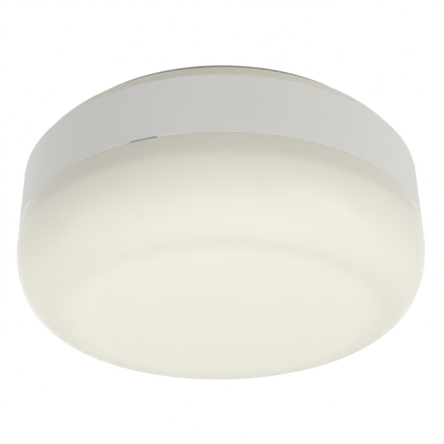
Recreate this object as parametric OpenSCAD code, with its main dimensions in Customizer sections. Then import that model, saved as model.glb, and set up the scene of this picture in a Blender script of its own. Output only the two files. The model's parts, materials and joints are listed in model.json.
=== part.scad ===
// Round bulkhead light, hanging below a ceiling.
// The ceiling is the plane z = 0 and the light reaches down from it. The front is towards -Y.
// The origin is midway between the two fixing holes, on the rear face.

/* [Housing] */
// Outside diameter of the trim ring and of the diffuser
body_d = 250; // [240:1:280]
// Diameter of the base pan at its rear edge
rear_d = 220; // [216:1:224]
// Depth of the tapered shoulder, from the ceiling to the trim ring
shoulder_h = 18; // [16:0.5:22]
// How far the shoulder bulges out of a straight taper
shoulder_bulge = 1.8; // [0.5:0.1:3]
// Step from the shoulder out to the face of the ring
shoulder_step = 0.8; // [0.4:0.1:1.5]
// Thickness of the base pan's back plate
plate_t = 3; // [2.5:0.1:4]
// Thickness of the upstand, the wall that the ring slides over
upstand_t = 2.5; // [2:0.1:3]
// How far the upstand reaches below the shoulder
upstand_h = 26; // [24:0.5:28]
// Height of the ribs on the inside of the back plate
rib_h = 5; // [3:0.5:6]
// Thickness of the ribs
rib_t = 2; // [1.5:0.1:3]
// Number of gussets between the back plate and the shoulder
gusset_count = 16; // [8:8:24]
// Thickness of the foam gasket at the rear edge
gasket_t = 2; // [1.5:0.1:3]
// Width of the foam gasket
gasket_w = 8; // [6:0.5:9]

/* [Trim ring] */
// Height of the ring
ring_h = 38; // [36:0.5:42]
// Wall of the ring
ring_t = 2; // [1.5:0.1:2.4]
// Radius on the ring's outer edges
ring_edge_r = 0.5; // [0.3:0.1:1.2]
// Space between the inside of the ring and the upstand
ring_space = 3; // [2.8:0.1:3.6]
// Angle of the prising slot, counted from +X
slot_angle = 251.3; // [245:0.1:258]
// Length of the prising slot
slot_len = 15; // [12:1:26]
// Height of the prising slot
slot_h = 0.9; // [0.7:0.1:2]

/* [Diffuser] */
// Height of the vertical band under the ring
skirt_h = 10.8; // [8:0.1:14]
// How far the rounded edge reaches in from the outside
edge_w = 28.4; // [24:0.2:32]
// How far the rounded edge reaches down
edge_h = 39.2; // [36:0.2:42]
// Crown of the face
face_crown = 3.4; // [2:0.1:5]
// Wall of the diffuser
diffuser_t = 3; // [2.5:0.1:3.5]
// Wall of the spigot, the part that goes up inside the ring
spigot_t = 2.6; // [2.4:0.1:3]
// Height of the spigot
spigot_h = 9.2; // [8.6:0.1:10]
// Depth of the groove that the clips snap into
groove_depth = 1; // [0.8:0.1:1.2]
// Gap between the diffuser's rim and the ring
rim_gap = 0.1; // [0.05:0.05:0.4]

/* [Seal and clips] */
// Height of the seal
seal_h = 2.5; // [2:0.1:2.7]
// Number of clips, and of ring screws between them
clip_count = 3; // [3:1:4]
// Width of a clip
clip_w = 12; // [8:1:16]
// Thickness of the spring steel
clip_t = 0.6; // [0.4:0.1:0.8]

/* [Gear tray] */
// Diameter of the tray
tray_d = 206; // [204:1:208]
// Thickness of the tray's sheet
tray_t = 1.2; // [0.8:0.1:1.5]
// Depth of the tray's turned rim
tray_rim = 6; // [4:0.5:8]
// Height of the tray's rear face below the ceiling
tray_z = 20; // [19:0.5:22]
// Radius of the circle of tray posts
post_circle_r = 88; // [86:1:90]
// Diameter of a tray post
post_d = 9; // [8:0.5:10]

/* [Lamps] */
// Height of the lamps' axes below the ceiling
lamp_z = 58; // [56:0.5:60]
// Distance of each lamp's axis from the middle
lamp_y = 34; // [33:0.5:35]
// Where the lamp's tip rests, along the lamp, back from the middle
lamp_back = 20; // [18:0.5:22]
// Diameter of the lamp's globe
globe_d = 60; // [55:1:62]
// Overall length of the lamp
lamp_len = 105; // [100:1:108]
// Wall of the globe
glass_t = 1; // [0.6:0.1:1.2]
// Diameter over the thread of the lamp's cap
cap_d = 26.1; // [26:0.1:26.3]
// Clearance between the lamp's cap and the threaded shell
cap_gap = 0.3; // [0.3:0.05:0.5]

/* [Lampholders] */
// Diameter of the lampholder's mouth
holder_d = 39; // [37:0.5:41]
// Reach of the lampholder past the lamp's tip, towards the globe
holder_reach = 26; // [25:0.5:27]
// Length of the lampholder behind the lamp's tip
holder_back = 20; // [18:0.5:22]
// Diameter of the hollow nipple
nipple_d = 10; // [9:0.5:11]
// Bore of the hollow nipple
nipple_bore_d = 6.8; // [6.4:0.1:7.2]
// Thickness of the bracket's sheet
bracket_t = 1.5; // [1:0.1:2]
// Width of the bracket
bracket_w = 30; // [28:1:31]
// Length of the bracket's foot
bracket_foot = 20; // [18:0.5:21]

/* [Wiring] */
// Diameter of an insulated wire
wire_d = 1.9; // [1.6:0.1:2]
// Distance of the terminal block's middle behind the light's middle
block_y = 86; // [85:0.5:87]
// Length of the terminal block
block_len = 34; // [33:0.5:36]
// Width of the terminal block
block_w = 16; // [15:0.5:17]
// Spacing of the poles
pole_pitch = 11; // [10.8:0.1:11.4]

/* [Mounting] */
// Distance between the two fixing holes
fixing_spacing = 150; // [144:1:156]
// Diameter of a fixing hole
fixing_hole_d = 5.2; // [4.5:0.1:6]
// Bore of the cable grommet
cable_d = 7; // [6:0.5:9]

/* [Hidden] */
$fn = 96;
slack = 0.05;
gap = 0.3;
cut = 1;
sink = 1;

// Radii and heights of the housing
ring_r = body_d / 2;
ring_in_r = ring_r - ring_t;
upstand_r = ring_in_r - ring_space;
upstand_in_r = upstand_r - upstand_t;
rear_r = rear_d / 2;
gasket_in_r = rear_r - gasket_w;
shoulder_r = ring_r - shoulder_step;
upstand_end = shoulder_h + upstand_h;
ring_end = shoulder_h + ring_h;
flange_t = 1.6;
shell_t = 2.5;
arc_steps = 10;

// Radii and heights of the diffuser
rim_top = ring_end + rim_gap;
skirt_end = rim_top + skirt_h;
face_edge_r = ring_r - edge_w;
spigot_space = 1.2;
spigot_r = ring_in_r - spigot_space;
spigot_in_r = spigot_r - spigot_t;
spigot_top = rim_top - spigot_h;
groove_drop = 4.8;
groove_z = rim_top - groove_drop;
edge_steps = 40;
crown_steps = 10;

// Places round the housing
screw_turn = slot_angle;
clip_turn = slot_angle + 180 / clip_count;
ring_screw_z = 30;
clip_screw_z = 34;
pad_t = 2;
pad_w = clip_w + 3;
clip_face_r = upstand_in_r - pad_t;
clip_top = 26;
boss_h = 3;

// Screws: shank radius, head radius and head height
small_screw = [1.45, 2.8, 2];
sheet_screw = [1.45, 3, 2.2];
ring_screw_seat = sqrt(pow(upstand_in_r, 2) - pow(small_screw[1], 2));
post_bite = 10;
bracket_screw_len = 6;
post_count = 4;
post_pilot = 12;
access_d = 14;

// Cable and wire ways
cable_x = -34;
cable_y = 76;
cable_hole_r = 8.5;
grommet_r = 12;
grommet_web = 1.5;
grommet_space = 1.5;
collar_t = 2;
grommet_nose = 8;
bush_hole_r = 6;
bush_flange_r = 8;
bush_bore_r = 4.2;
bush_flange_t = 1.5;
way_a = [34, 70];
way_b = [70, -50];
bush_places = [[cable_x, cable_y], way_a, way_b];

// Lamp and lampholder, along their own axis from the lamp's tip
tip_r = 4.8;
tip_h = 1;
insulator_h = 4.5;
cap_start = tip_h + insulator_h;
cap_len = 21.5;
cap_t = 0.5;
cap_end = cap_start + cap_len;
cap_turn_in = 2;
neck_space = 0.1;
neck_r = cap_d / 2 - cap_t - neck_space;
globe_r = globe_d / 2;
globe_mid = lamp_len - globe_r;
globe_join = 125;
brass_r = cap_d / 2 + cap_gap;
brass_t = 0.5;
brass_start = 3;
brass_len = 19;
brass_space = 0.4;
bore_r = brass_r + brass_t + brass_space;
chamber_r = cap_d / 2 - 2;
chamber_floor = -3;
nipple_in = 6;
nipple_len = 16;
nut_flats = 14;
nut_h = 4;
bracket_x = lamp_back + holder_back;
bracket_end_r = bracket_w / 2;
bracket_screw_x = bracket_x + bracket_t + (bracket_foot + 1) / 2;
bracket_screw_gap = 18;

// Terminal block
tray_face = tray_z + tray_t;
block_h = 10.8;
tower_h = 4;
tower_r = 3.9;
insert_w = 5;
insert_len = 13;
insert_bore_r = 2.1;
channel_w = insert_w + 0.2;
pole_rise = 6.8;
pole_z = tray_face + pole_rise;
pole_xs = [for (i = [-1:1]) i * pole_pitch];
clamp_gap = 8;
clamp_head = [1.45, 1.9, 2];
earth_spot = [24, 84];
tongue_r = 3.8;
tongue_t = 0.8;
barrel_r = 1.7;
barrel_bore_r = 1.05;
barrel_len = 6;

// Wires: routes, in millimetres
pair_gap = 0.24;
pair = (wire_d + pair_gap) / 2;
wire_end_x = lamp_back + holder_back - nipple_in;
nipple_x = bracket_x + nipple_len - nipple_in;
wire_stop = 2;
wire_end_y = block_y - wire_stop;
live_x = -pole_pitch;
neutral_x = pole_pitch;
live_a_route = [
    [-wire_end_x, lamp_y - pair, -lamp_z], [-nipple_x, lamp_y - pair, -lamp_z],
    [-59, 33, -57.5], [-66.5, 34.5, -52], [-69, 38.5, -42], [-68, 44, -32], [-62, 51, -25],
    [-53, 57, -22.8], [-42, 60.3, -22.8], [-30, 63.5, -22.8], [-20, 67, -23.8], [-14, 71, -26.5],
    [live_x - pair, 75, -pole_z], [live_x - pair, wire_end_y, -pole_z]
];
neutral_a_route = [
    [-wire_end_x, lamp_y + pair, -lamp_z], [-nipple_x, lamp_y + pair, -lamp_z],
    [-58, 35.5, -56.5], [-64, 37, -51], [-66, 40, -42], [-65, 44, -33], [-60, 49, -26.5],
    [-52, 54, -23.6], [-42, 57.3, -22.8], [-30, 60, -22.8], [-15, 61.5, -22.8], [0, 62.5, -23.2],
    [7, 64.5, -25], [neutral_x - pair, 68.5, -27.5],
    [neutral_x - pair, 73, -pole_z], [neutral_x - pair, wire_end_y, -pole_z]
];
live_b_route = [
    [wire_end_x, -lamp_y + pair, -lamp_z], [nipple_x, -lamp_y + pair, -lamp_z],
    [59, -33.5, -57.5], [66, -36.5, -52], [70, -42, -43], [71.5, -47, -34], [71.3, -50, -26],
    [71.3, -50, -20], [70.5, -45, -15.5], [66, -30, -14], [60, -8, -14], [53, 20, -14], [45, 46, -14],
    [38.5, 61, -14.8], [35.6, 68, -18.5], [35.3, 70, -23], [33.8, 69.3, -28], [28, 68.3, -32],
    [20, 68, -33.5], [8, 68, -33.5], [-3, 69, -32.5], [-9.2, 72, -29.5],
    [live_x + pair, 75.5, -pole_z], [live_x + pair, wire_end_y, -pole_z]
];
neutral_b_route = [
    [wire_end_x, -lamp_y - pair, -lamp_z], [nipple_x, -lamp_y - pair, -lamp_z],
    [58, -36, -56.5], [63, -39.5, -51], [66, -44, -42], [68.3, -48, -34], [68.7, -50, -26],
    [68.7, -50, -20], [67.2, -44, -15.5], [63, -30, -14], [57, -8, -14], [50, 20, -14], [42, 46, -14],
    [36, 60, -14.8], [33, 67.3, -18.5], [32.7, 70, -22.5], [30.5, 71.3, -25.8], [25, 71.5, -28.5],
    [17, 71.9, -29], [12.6, 74, -28.4], [neutral_x + pair, 78, -pole_z],
    [neutral_x + pair, wire_end_y, -pole_z]
];
earth_route = [
    [earth_spot.x, earth_spot.y - tongue_r - barrel_len + 4, -tray_face - barrel_r],
    [earth_spot.x, earth_spot.y - tongue_r - barrel_len - 0.5, -tray_face - barrel_r],
    [21, 70.5, -22.9], [14, 69.5, -22.9], [6, 70, -23.5], [1, 72.5, -26],
    [0, 76.5, -pole_z], [0, wire_end_y, -pole_z]
];

// Points of an arc from p to q that stands proud of its chord by sag, to the left of the way
function bowed(p, q, sag, steps) =
    let (
        chord = norm(q - p),
        r = (chord * chord / 4 + sag * sag) / (2 * sag),
        mid = (p + q) / 2,
        side = [p.y - q.y, q.x - p.x] / chord,
        centre = mid - side * (r - sag),
        half = asin(chord / 2 / r),
        axis = atan2(side.y, side.x)
    )
    [for (i = [0:steps]) let (a = axis + half - 2 * half * i / steps) centre + r * [cos(a), sin(a)]];

// Points of a quarter turn round a centre, from one angle to another
function turn(centre, r, from, to, steps = 4) =
    [for (i = [0:steps]) let (a = from + (to - from) * i / steps) centre + r * [cos(a), sin(a)]];

// Profile of one face of the diffuser, from the skirt to the middle of the face
function bowl(outer_r, flat_r, top, deep, crown) =
    let (
        wide = outer_r - flat_r,
        lean = 2 * atan(crown / flat_r),
        last = atan(deep / (wide * tan(lean))),
        end_r = flat_r + wide * cos(last),
        end_z = -top - deep * sin(last),
        crown_r = end_r / sin(lean)
    )
    concat(
        [for (i = [0:edge_steps])
            let (t = last * i / edge_steps) [flat_r + wide * cos(t), -top - deep * sin(t)]],
        [for (i = [1:crown_steps])
            let (t = lean * (1 - i / crown_steps))
            [crown_r * sin(t), end_z + crown_r * (cos(lean) - cos(t))]]
    );

// Profile of one face of a lamp's globe, from the neck to the crown
function globe_line(neck, ball, start) =
    let (
        join = [ball * sin(globe_join), globe_mid + ball * cos(globe_join)],
        foot = [neck, cap_end + 1],
        reach = (join.y - foot.y) * 0.42,
        lead = join + reach * [cos(globe_join), -sin(globe_join)]
    )
    concat(
        [[neck, start], foot],
        [for (i = [1:8])
            let (t = i / 8, s = 1 - t)
            s * s * s * foot + 3 * s * s * t * (foot + [0, reach]) + 3 * s * t * t * lead + t * t * t * join],
        [for (i = [1:18])
            let (a = globe_join * (1 - i / 18)) [ball * sin(a), globe_mid + ball * cos(a)]]
    );

// A smooth curve through the points of a route
function smooth(route, steps) =
    let (n = len(route))
    concat(
        [for (i = [0:n - 2], j = [0:steps - 1])
            let (
                t = j / steps,
                p = route[max(i - 1, 0)],
                a = route[i],
                b = route[i + 1],
                q = route[min(i + 2, n - 1)],
                m = (i == 0 ? b - a : (b - p) / 2),
                w = (i == n - 2 ? b - a : (q - a) / 2)
            )
            (2 * t * t * t - 3 * t * t + 1) * a + (t * t * t - 2 * t * t + t) * m
                + (3 * t * t - 2 * t * t * t) * b + (t * t * t - t * t) * w],
        [route[n - 1]]
    );
function unit(v) = v / norm(v);
function ways(line) =
    [for (i = [0:len(line) - 1]) unit(line[min(i + 1, len(line) - 1)] - line[max(i - 1, 0)])];
// A side direction carried along the line without twisting
function sides(way, i, last) =
    i >= len(way) ? [] : let (s = unit(last - way[i] * (last * way[i]))) concat([s], sides(way, i + 1, s));

module wire(route, tint) {
    corners = 8;
    line = smooth(route, 2);
    way = ways(line);
    side = sides(way, 0, [0.1, 0.3, 1]);
    rings = len(line);
    points = [for (i = [0:rings - 1], k = [0:corners - 1])
        let (a = 360 * k / corners)
        line[i] + wire_d / 2 * (side[i] * cos(a) + cross(way[i], side[i]) * sin(a))];
    faces = concat(
        [[for (k = [0:corners - 1]) k]],
        [for (i = [0:rings - 2], k = [0:corners - 1])
            let (p = i * corners + k, q = i * corners + (k + 1) % corners)
            [p, p + corners, q + corners]],
        [for (i = [0:rings - 2], k = [0:corners - 1])
            let (p = i * corners + k, q = i * corners + (k + 1) % corners)
            [p, q + corners, q]],
        [[for (k = [corners - 1:-1:0]) (rings - 1) * corners + k]]
    );
    color(tint) polyhedron(points, faces);
}

// A pan-head screw whose head sits under z = 0 and whose shank points up
module screw(size, length) {
    slot_w = size[1] * 0.28;
    difference() {
        union() {
            cylinder(h = length, r = size[0], $fn = 24);
            translate([0, 0, -size[2]])
                cylinder(h = size[2], r1 = size[1] * 0.78, r2 = size[1], $fn = 32);
        }
        for (a = [0, 90])
            rotate(a) translate([-size[1] * 0.5, -slot_w / 2, -size[2] - cut])
                cube([size[1], slot_w, cut + size[2] * 0.6]);
    }
}

// Puts a screw so that it points out from the middle, its head seated at radius r
module outward(angle, r, z) {
    rotate(angle) translate([r, 0, -z]) rotate([0, 90, 0]) children();
}

// Puts children drawn along +Z on the axis of a lamp, from the lamp's tip towards its globe
module on_lamp(side) {
    rotate(side == "a" ? 0 : 180) translate([-lamp_back, lamp_y, -lamp_z]) rotate([0, 90, 0]) children();
}

module at_posts() {
    for (i = [0:post_count - 1])
        rotate(45 + 360 * i / post_count) translate([post_circle_r, 0, 0]) children();
}

module at_clips() {
    for (i = [0:clip_count - 1])
        rotate(clip_turn + 360 * i / clip_count) children();
}

module at_fixings() {
    for (side = [-1, 1]) translate([side * fixing_spacing / 2, 0, 0]) children();
}

module at_bracket_screws(side) {
    rotate(side == "a" ? 0 : 180)
        for (y = [-bracket_screw_gap / 2, bracket_screw_gap / 2])
            translate([-bracket_screw_x, lamp_y + y, 0]) children();
}

// The moulded pan: plate, shoulder and upstand are one revolved wall
module pan_shell() {
    inner_top = plate_t + gasket_t - 0.5;
    rotate_extrude($fn = 180) polygon(concat(
        [[0, 0], [gasket_in_r, 0], [gasket_in_r, -gasket_t], [rear_r, -gasket_t]],
        bowed([rear_r, -gasket_t], [shoulder_r, -shoulder_h], shoulder_bulge, arc_steps),
        [
            [upstand_r, -shoulder_h], [upstand_r, -upstand_end], [upstand_in_r, -upstand_end],
            [upstand_in_r, -shoulder_h + shell_t]
        ],
        [
            [rear_r - shell_t, -inner_top], [gasket_in_r - shell_t, -inner_top],
            [gasket_in_r - shell_t, -plate_t], [0, -plate_t]
        ]
    ));
}

module pan_ribs() {
    rib_ring_r = 48;
    spokes = 8;
    ring_proud = 0.6;
    gusset_reach = 10;
    gusset_in_r = gasket_in_r - gusset_reach;
    gusset_foot = shoulder_h + rib_h;
    rotate_extrude($fn = 120)
        translate([rib_ring_r, -plate_t - rib_h - ring_proud]) square([rib_t, rib_h + ring_proud + sink]);
    for (i = [0:spokes - 1])
        rotate(22.5 + 360 * i / spokes) translate([rib_ring_r + rib_t / 2, -rib_t / 2, -plate_t - rib_h])
            cube([gasket_in_r - rib_ring_r, rib_t, rib_h + sink]);
    for (i = [0:gusset_count - 1])
        rotate(360 * (i + 0.5) / gusset_count) rotate([90, 0, 0])
            linear_extrude(rib_t, center = true) polygon([
                [gusset_in_r, -plate_t + sink], [gasket_in_r - 1, -plate_t + sink],
                [gasket_in_r + 1, -gasket_t - sink], [rear_r - 1, -gasket_t - 1.5 * sink],
                [upstand_r - 1, -shoulder_h + 1.5], [upstand_r - sink, -gusset_foot],
                [gasket_in_r - 1, -plate_t - rib_h], [gusset_in_r, -plate_t - rib_h]
            ]);
}

module base_pan() {
    boss_d = 14;
    collar_h = rib_h + 1;
    color("cornsilk") difference() {
        union() {
            pan_shell();
            pan_ribs();
            at_posts() translate([0, 0, -tray_z])
                cylinder(h = tray_z - plate_t + sink, d1 = post_d - 1, d2 = post_d);
            at_fixings() translate([0, 0, -plate_t - boss_h]) cylinder(h = boss_h + sink, d = boss_d);
            translate([cable_x, cable_y, -plate_t - collar_h])
                cylinder(h = collar_h + sink, r = grommet_r + grommet_space + collar_t);
            at_clips() translate([clip_face_r, -pad_w / 2, -upstand_end + 2])
                cube([pad_t + sink, pad_w, upstand_end - clip_top]);
        }
        at_posts() translate([0, 0, -tray_z - cut]) cylinder(h = post_pilot + cut, r = sheet_screw[0] + slack);
        at_fixings() translate([0, 0, -plate_t - boss_h - cut])
            cylinder(h = plate_t + boss_h + 2 * cut, d = fixing_hole_d);
        translate([cable_x, cable_y, -plate_t - collar_h - cut])
            cylinder(h = collar_h + cut, r = grommet_r + grommet_space);
        translate([cable_x, cable_y, -plate_t - cut]) cylinder(h = plate_t + 2 * cut, r = cable_hole_r);
        translate([cable_x, cable_y, -plate_t + grommet_web]) cylinder(h = plate_t, r = grommet_r + 0.5);
        for (i = [0:clip_count - 1])
            outward(screw_turn + 360 * i / clip_count, upstand_in_r - cut, ring_screw_z)
                cylinder(h = upstand_t + 2 * cut, r = small_screw[0] + gap);
        at_clips() outward(0, clip_face_r - cut, clip_screw_z)
            cylinder(h = pad_t + upstand_t - 0.5 + cut, r = small_screw[0] + slack);
    }
}

module wall_gasket() {
    color("dimgray") rotate_extrude($fn = 180)
        translate([gasket_in_r + slack, -gasket_t]) square([gasket_w - slack, gasket_t]);
}

module fixing_washers() {
    washer_r = 6;
    washer_t = 1.5;
    color("gray") at_fixings() translate([0, 0, -plate_t - boss_h - washer_t]) difference() {
        cylinder(h = washer_t, r = washer_r, $fn = 48);
        translate([0, 0, -cut]) cylinder(h = washer_t + 2 * cut, d = fixing_hole_d + 0.2, $fn = 48);
    }
}

module cable_grommet() {
    neck_r = cable_hole_r - slack;
    web_top = plate_t - grommet_web;
    color("dimgray") translate([cable_x, cable_y, 0]) rotate_extrude($fn = 72) polygon([
        [cable_d / 2, 0], [grommet_r - 0.6, 0], [grommet_r, -0.6], [grommet_r, -web_top],
        [neck_r, -web_top], [neck_r, -plate_t], [grommet_r, -plate_t], [grommet_r, -plate_t - 1.2],
        [grommet_r - 0.8, -plate_t - 2], [cable_d / 2 + 4, -plate_t - 2],
        [cable_d / 2 + 1.6, -plate_t - grommet_nose], [cable_d / 2, -plate_t - grommet_nose]
    ]);
}

module trim_ring() {
    flange_in_r = upstand_r + gap;
    pad_h = 9;
    pad_in_r = upstand_r + gap;
    slot_arc = slot_len / ring_r * 180 / PI;
    color("white") difference() {
        union() {
            rotate_extrude($fn = 240) polygon(concat(
                [[flange_in_r, -shoulder_h - flange_t], [flange_in_r, -shoulder_h]],
                turn([ring_r - ring_edge_r, -shoulder_h - ring_edge_r], ring_edge_r, 90, 0),
                turn([ring_r - ring_edge_r, -ring_end + ring_edge_r], ring_edge_r, 0, -90),
                [[ring_in_r, -ring_end], [ring_in_r, -shoulder_h - flange_t]]
            ));
            for (i = [0:clip_count - 1])
                rotate(screw_turn + 360 * i / clip_count)
                    translate([pad_in_r, -pad_h / 2, -ring_screw_z - pad_h / 2])
                        cube([ring_in_r - pad_in_r + sink, pad_h, pad_h]);
        }
        for (i = [0:clip_count - 1])
            outward(screw_turn + 360 * i / clip_count, pad_in_r - cut, ring_screw_z)
                cylinder(h = ring_in_r - pad_in_r + cut + 0.8, r = small_screw[0] + slack);
        rotate(slot_angle - slot_arc / 2) translate([0, 0, -ring_end - cut])
            rotate_extrude(angle = slot_arc, $fn = 240)
                translate([ring_in_r - cut, 0]) square([ring_t + 2 * cut, slot_h + cut]);
    }
}

module ring_screws() {
    color("silver") for (i = [0:clip_count - 1])
        outward(screw_turn + 360 * i / clip_count, ring_screw_seat, ring_screw_z)
            screw(small_screw, ring_in_r - upstand_in_r + 0.6);
}

module diffuser() {
    outer = bowl(ring_r, face_edge_r, skirt_end, edge_h, face_crown);
    inner = bowl(ring_r - diffuser_t, face_edge_r, skirt_end, edge_h - diffuser_t, face_crown);
    lip = 0.5;
    rim_edge = 0.25;
    groove_r = 1.6;
    color("ivory") rotate_extrude($fn = 240) difference() {
        polygon(concat(
            [
                [spigot_in_r + lip, -spigot_top], [spigot_r - lip, -spigot_top],
                [spigot_r, -spigot_top - lip], [spigot_r, -rim_top],
                [ring_r - rim_edge, -rim_top], [ring_r, -rim_top - rim_edge]
            ],
            outer,
            [for (i = [len(inner) - 1:-1:0]) inner[i]],
            [
                [ring_r - diffuser_t, -rim_top - diffuser_t - 2],
                [spigot_in_r, -rim_top - 2], [spigot_in_r, -spigot_top - lip]
            ]
        ));
        translate([spigot_in_r + groove_depth - groove_r, -groove_z]) circle(r = groove_r, $fn = 32);
    }
}

module diffuser_seal() {
    color("lightgray") rotate_extrude($fn = 180) polygon([
        [upstand_in_r + 0.5, -upstand_end], [upstand_r + 1, -upstand_end],
        [upstand_r + 1.6, -upstand_end - seal_h / 2], [upstand_r + 1, -upstand_end - seal_h],
        [upstand_in_r + 1.5, -upstand_end - seal_h], [upstand_in_r + 0.5, -upstand_end - seal_h / 2]
    ]);
}

module diffuser_clips() {
    // The strip runs down the pad, out to the groove and back in
    tip_r = spigot_in_r + groove_depth - gap;
    line = [
        [clip_face_r, -clip_top], [clip_face_r, -upstand_end + 0.5],
        [tip_r, -groove_z], [tip_r - 2.6, -groove_z - 3.6]
    ];
    inner = [
        [line[3].x - clip_t, line[3].y], [tip_r - clip_t * 1.3, -groove_z],
        [clip_face_r - clip_t, -upstand_end + 0.3], [clip_face_r - clip_t, -clip_top]
    ];
    color("silver") at_clips() difference() {
        rotate([90, 0, 0]) linear_extrude(clip_w, center = true) polygon(concat(line, inner));
        outward(0, clip_face_r - clip_t - cut, clip_screw_z)
            cylinder(h = clip_t + 2 * cut, r = small_screw[0] + gap, $fn = 24);
    }
}

module clip_screws() {
    color("silver") at_clips() outward(0, clip_face_r - clip_t, clip_screw_z)
        screw(small_screw, clip_t + pad_t + upstand_t - 1);
}

module gear_tray() {
    r = tray_d / 2;
    bend = 2.4;
    steps = 5;
    color("white") difference() {
        rotate_extrude($fn = 180) polygon(concat(
            [[0, -tray_z]],
            turn([r - bend, -tray_z - bend], bend, 90, 0, steps),
            [[r, -tray_z - tray_rim], [r - tray_t, -tray_z - tray_rim]],
            turn([r - bend, -tray_z - bend], bend - tray_t, 0, 90, steps),
            [[0, -tray_face]]
        ));
        translate([0, 0, -tray_face - cut]) {
            h = tray_t + 2 * cut;
            at_posts() cylinder(h = h, r = sheet_screw[0] + gap);
            at_fixings() cylinder(h = h, d = access_d);
            for (p = bush_places) translate(p) cylinder(h = h, r = bush_hole_r);
            for (side = ["a", "b"]) at_bracket_screws(side) cylinder(h = h, r = sheet_screw[0] + slack);
            for (x = [-pole_pitch / 2, pole_pitch / 2])
                translate([x, block_y]) cylinder(h = h, r = small_screw[0] + slack);
            translate(earth_spot) cylinder(h = h, r = small_screw[0] + slack);
        }
    }
}

module tray_screws() {
    color("silver") at_posts() translate([0, 0, -tray_face]) screw(sheet_screw, tray_t + post_bite);
}

module tray_bushes() {
    color("dimgray") for (p = bush_places) translate(p) rotate_extrude($fn = 48) polygon([
        [bush_bore_r, -tray_z + bush_flange_t], [bush_flange_r, -tray_z + bush_flange_t],
        [bush_flange_r, -tray_z], [bush_hole_r - slack, -tray_z],
        [bush_hole_r - slack, -tray_face], [bush_flange_r, -tray_face],
        [bush_flange_r, -tray_face - bush_flange_t], [bush_bore_r, -tray_face - bush_flange_t]
    ]);
}

module bracket(side) {
    bend = 3;
    tall = lamp_z - tray_face;
    near = -bracket_x;
    far = -bracket_x - bracket_t - bracket_foot;
    color("lightgray") rotate(side == "a" ? 0 : 180) difference() {
        intersection() {
            translate([0, lamp_y, 0]) rotate([90, 0, 0]) linear_extrude(bracket_w, center = true)
                polygon(concat(
                    [[far, -tray_face]],
                    turn([near - bend, -tray_face - bend], bend, 90, 0, 5),
                    [[near, -lamp_z - bracket_end_r], [near - bracket_t, -lamp_z - bracket_end_r]],
                    turn([near - bend, -tray_face - bend], bend - bracket_t, 0, 90, 5),
                    [[far, -tray_face - bracket_t]]
                ));
            union() {
                translate([far - cut, lamp_y - bracket_w / 2, -lamp_z])
                    cube([bracket_foot + bracket_t + 2 * cut, bracket_w, tall + cut]);
                translate([far - cut, lamp_y, -lamp_z]) rotate([0, 90, 0])
                    cylinder(h = bracket_foot + bracket_t + 2 * cut, r = bracket_end_r);
            }
        }
        translate([near - bracket_t - cut, lamp_y, -lamp_z]) rotate([0, 90, 0])
            cylinder(h = bracket_t + 2 * cut, r = nipple_d / 2 + slack, $fn = 48);
        for (y = [-bracket_screw_gap / 2, bracket_screw_gap / 2])
            translate([-bracket_screw_x, lamp_y + y, -tray_face - bracket_t - cut])
                cylinder(h = bracket_t + 2 * cut, r = sheet_screw[0] + gap, $fn = 24);
    }
}

module bracket_screws() {
    color("silver") for (side = ["a", "b"])
        at_bracket_screws(side) translate([0, 0, -tray_face - bracket_t]) screw(sheet_screw, bracket_screw_len);
}

module holder_body(side) {
    mouth_r = holder_d / 2;
    waist_r = 15.5;
    waist_z = -6.5;
    tail_r = 13;
    color("whitesmoke") on_lamp(side) difference() {
        rotate_extrude() polygon(concat(
            [[0, -holder_back], [tail_r - 1.5, -holder_back]],
            turn([tail_r - 1.5, -holder_back + 1.5], 1.5, -90, 0),
            [[waist_r, waist_z]],
            turn([mouth_r - 3.5, -2], 3, -90, 0),
            [[mouth_r - 0.3, holder_reach - 4], [mouth_r, holder_reach - 3.6]],
            turn([mouth_r - 1, holder_reach - 1], 1, 0, 90),
            [[bore_r, holder_reach], [bore_r, brass_start], [chamber_r, brass_start],
             [chamber_r, chamber_floor], [0, chamber_floor]]
        ));
        translate([0, 0, -holder_back - cut]) cylinder(h = nipple_in + cut, r = nipple_d / 2 + slack, $fn = 48);
    }
}

module thread_shell(side) {
    floor_t = 0.8;
    color("gold") on_lamp(side) translate([0, 0, brass_start]) rotate_extrude() polygon([
        [chamber_r - 1, 0], [brass_r + brass_t, 0], [brass_r + brass_t, brass_len],
        [brass_r, brass_len], [brass_r, floor_t], [chamber_r - 1, floor_t]
    ]);
}

module centre_contact(side) {
    // A sprung strip: its foot lies on the chamber's floor and its flat meets the lamp's tip
    strip_t = 0.5;
    strip_w = 6;
    foot_x = -8;
    bend_x = -4;
    rise_x = -0.5;
    flat_x = 3.5;
    nose_x = 5;
    nose_drop = 1;
    nose_edge = 0.4;
    slant = 0.3;
    flat_z = -gap - strip_t;
    color("goldenrod") on_lamp(side) rotate([90, 0, 0]) linear_extrude(strip_w, center = true)
        polygon([
            [foot_x, chamber_floor], [bend_x, chamber_floor], [rise_x, flat_z], [flat_x, flat_z],
            [nose_x, flat_z - nose_drop], [nose_x + nose_edge, flat_z - nose_drop + nose_edge],
            [flat_x + slant, -gap], [rise_x - slant, -gap],
            [bend_x - slant, chamber_floor + strip_t], [foot_x, chamber_floor + strip_t]
        ]);
}

module holder_nipples() {
    color("silver") for (side = ["a", "b"])
        on_lamp(side) translate([0, 0, -holder_back + nipple_in - nipple_len]) difference() {
            cylinder(h = nipple_len, d = nipple_d, $fn = 48);
            translate([0, 0, -cut]) cylinder(h = nipple_len + 2 * cut, d = nipple_bore_d, $fn = 48);
        }
}

module holder_nuts() {
    color("silver") for (side = ["a", "b"])
        on_lamp(side) translate([0, 0, -holder_back - bracket_t - nut_h]) difference() {
            cylinder(h = nut_h, r = nut_flats / 2 / cos(30), $fn = 6);
            translate([0, 0, -cut]) cylinder(h = nut_h + 2 * cut, r = nipple_d / 2 + slack, $fn = 48);
        }
}

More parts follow.
